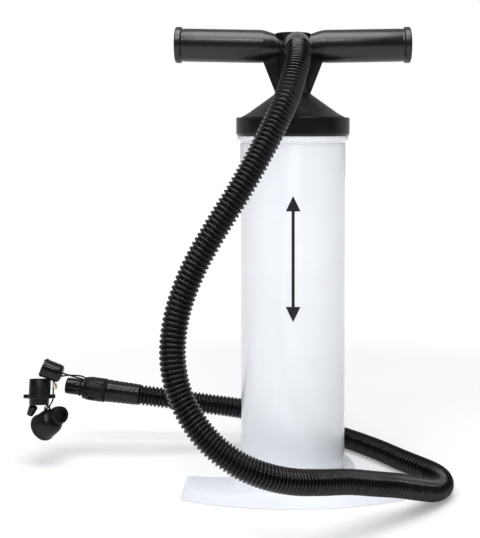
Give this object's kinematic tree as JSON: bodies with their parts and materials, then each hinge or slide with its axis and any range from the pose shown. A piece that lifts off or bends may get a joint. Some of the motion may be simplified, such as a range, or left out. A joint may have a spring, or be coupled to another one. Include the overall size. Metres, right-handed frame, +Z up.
{
  "type": "double action hand pump",
  "caption": "Upright double action hand pump: white barrel on a winged foot, black T handle, corrugated hose with a plug-in connector and tethered valve adapters.",
  "frame": {"origin": "on the barrel's axis, at the floor that the foot's pads rest on", "axes": "+Z up along the barrel, +X towards the right-hand grip, -Y towards the user and the hub's hose port"},
  "size_m": [0.4543, 0.3205, 0.4695],
  "materials": {
    "white_barrel": "glossy white moulding",
    "white_foot": "satin white moulding",
    "black_gloss": "glossy black moulding",
    "black_satin": "satin black moulding",
    "black_grip": "fine-grained satin black",
    "black_hose": "semi-gloss black corrugated tube",
    "black_rubber": "soft black rubber",
    "valve_rubber": "red-brown valve rubber",
    "grey_plastic": "moulded grey",
    "bush_plastic": "natural acetal",
    "aluminium_rod": "satin anodised tube",
    "steel": "zinc-plated steel",
    "black_cord": "thin elastic tether",
    "pale_gasket": "translucent pale gasket"
  },
  "bodies": {
    "barrel": {"foot_plate": "white_foot", "foot_pads": "black_rubber", "foot_screws": "steel", "barrel_tube": "white_barrel", "bottom_plate": "grey_plastic", "bottom_o_ring": "black_rubber", "valve_stud": "steel", "cap_band": "black_gloss", "cap_cone": "black_satin", "cap_plate": "grey_plastic", "cap_gasket": "black_rubber", "rod_seal": "black_rubber", "top_valve_retainer": "grey_plastic"},
    "intake_flap": {"intake_valve": "valve_rubber"},
    "top_intake_flap": {"top_intake_valve": "valve_rubber"},
    "guide": {"guide_bush": "bush_plastic", "corrugated_hose": "black_hose", "hose_end_cuff": "black_gloss", "connector_body": "black_gloss", "connector_tip": "black_gloss", "tip_o_ring": "black_rubber"},
    "handle": {"piston_rod": "aluminium_rod", "piston_head": "grey_plastic", "piston_base": "grey_plastic", "piston_seal": "black_rubber", "sleeve_valve": "valve_rubber", "stop_bumper": "black_rubber", "handle_hub": "black_satin", "hub_lid": "black_satin", "rod_pin": "steel", "grip_left": "black_grip", "grip_right": "black_grip", "grip_plug_left": "black_satin", "grip_plug_right": "black_satin", "hose_collar": "black_gloss"},
    "outlet_flap": {"outlet_valve": "valve_rubber"},
    "adapters": {"tether_ring": "black_satin", "tether_loop": "black_rubber", "tether_long": "black_cord", "tether_short": "black_cord", "tether_drop": "black_cord", "cap_adapter": "black_gloss", "flanged_adapter": "black_satin", "adapter_nozzle": "black_gloss", "adapter_washer": "pale_gasket"},
    "bell": {"bell_adapter": "black_satin"}
  },
  "joints": [
    {"name": "handle_turn", "type": "hinge", "parent": "barrel", "child": "guide", "pos_m": [0, 0, 0.385], "axis": [0, 0, 1], "range_deg": [-12, 30]},
    {"name": "handle_slide", "type": "slide", "parent": "guide", "child": "handle", "axis": [0, 0, 1], "range_m": [0, 0.3]},
    {"name": "intake_valve_lift", "type": "slide", "parent": "barrel", "child": "intake_flap", "axis": [0, 0, 1], "range_m": [0, 0.0015]},
    {"name": "top_intake_valve_drop", "type": "slide", "parent": "barrel", "child": "top_intake_flap", "axis": [0, 0, -1], "range_m": [0, 0.0015], "stiffness_N_per_m": 60, "springref_m": -0.002},
    {"name": "outlet_valve_lift", "type": "slide", "parent": "handle", "child": "outlet_flap", "axis": [0, 0, 1], "range_m": [0, 0.0018]},
    {"name": "tether_ring_turn", "type": "hinge", "parent": "guide", "child": "adapters", "pos_m": [-0.23297, 0.069, 0.07509], "axis": [-0.9914, 0, 0.1305], "range_deg": [-25, 25]},
    {"name": "bell_adapter_swing", "type": "hinge", "parent": "adapters", "child": "bell", "pos_m": [-0.2668, 0.036, 0.0624], "axis": [0, 1, 0], "range_deg": [-8, 4]}
  ]
}
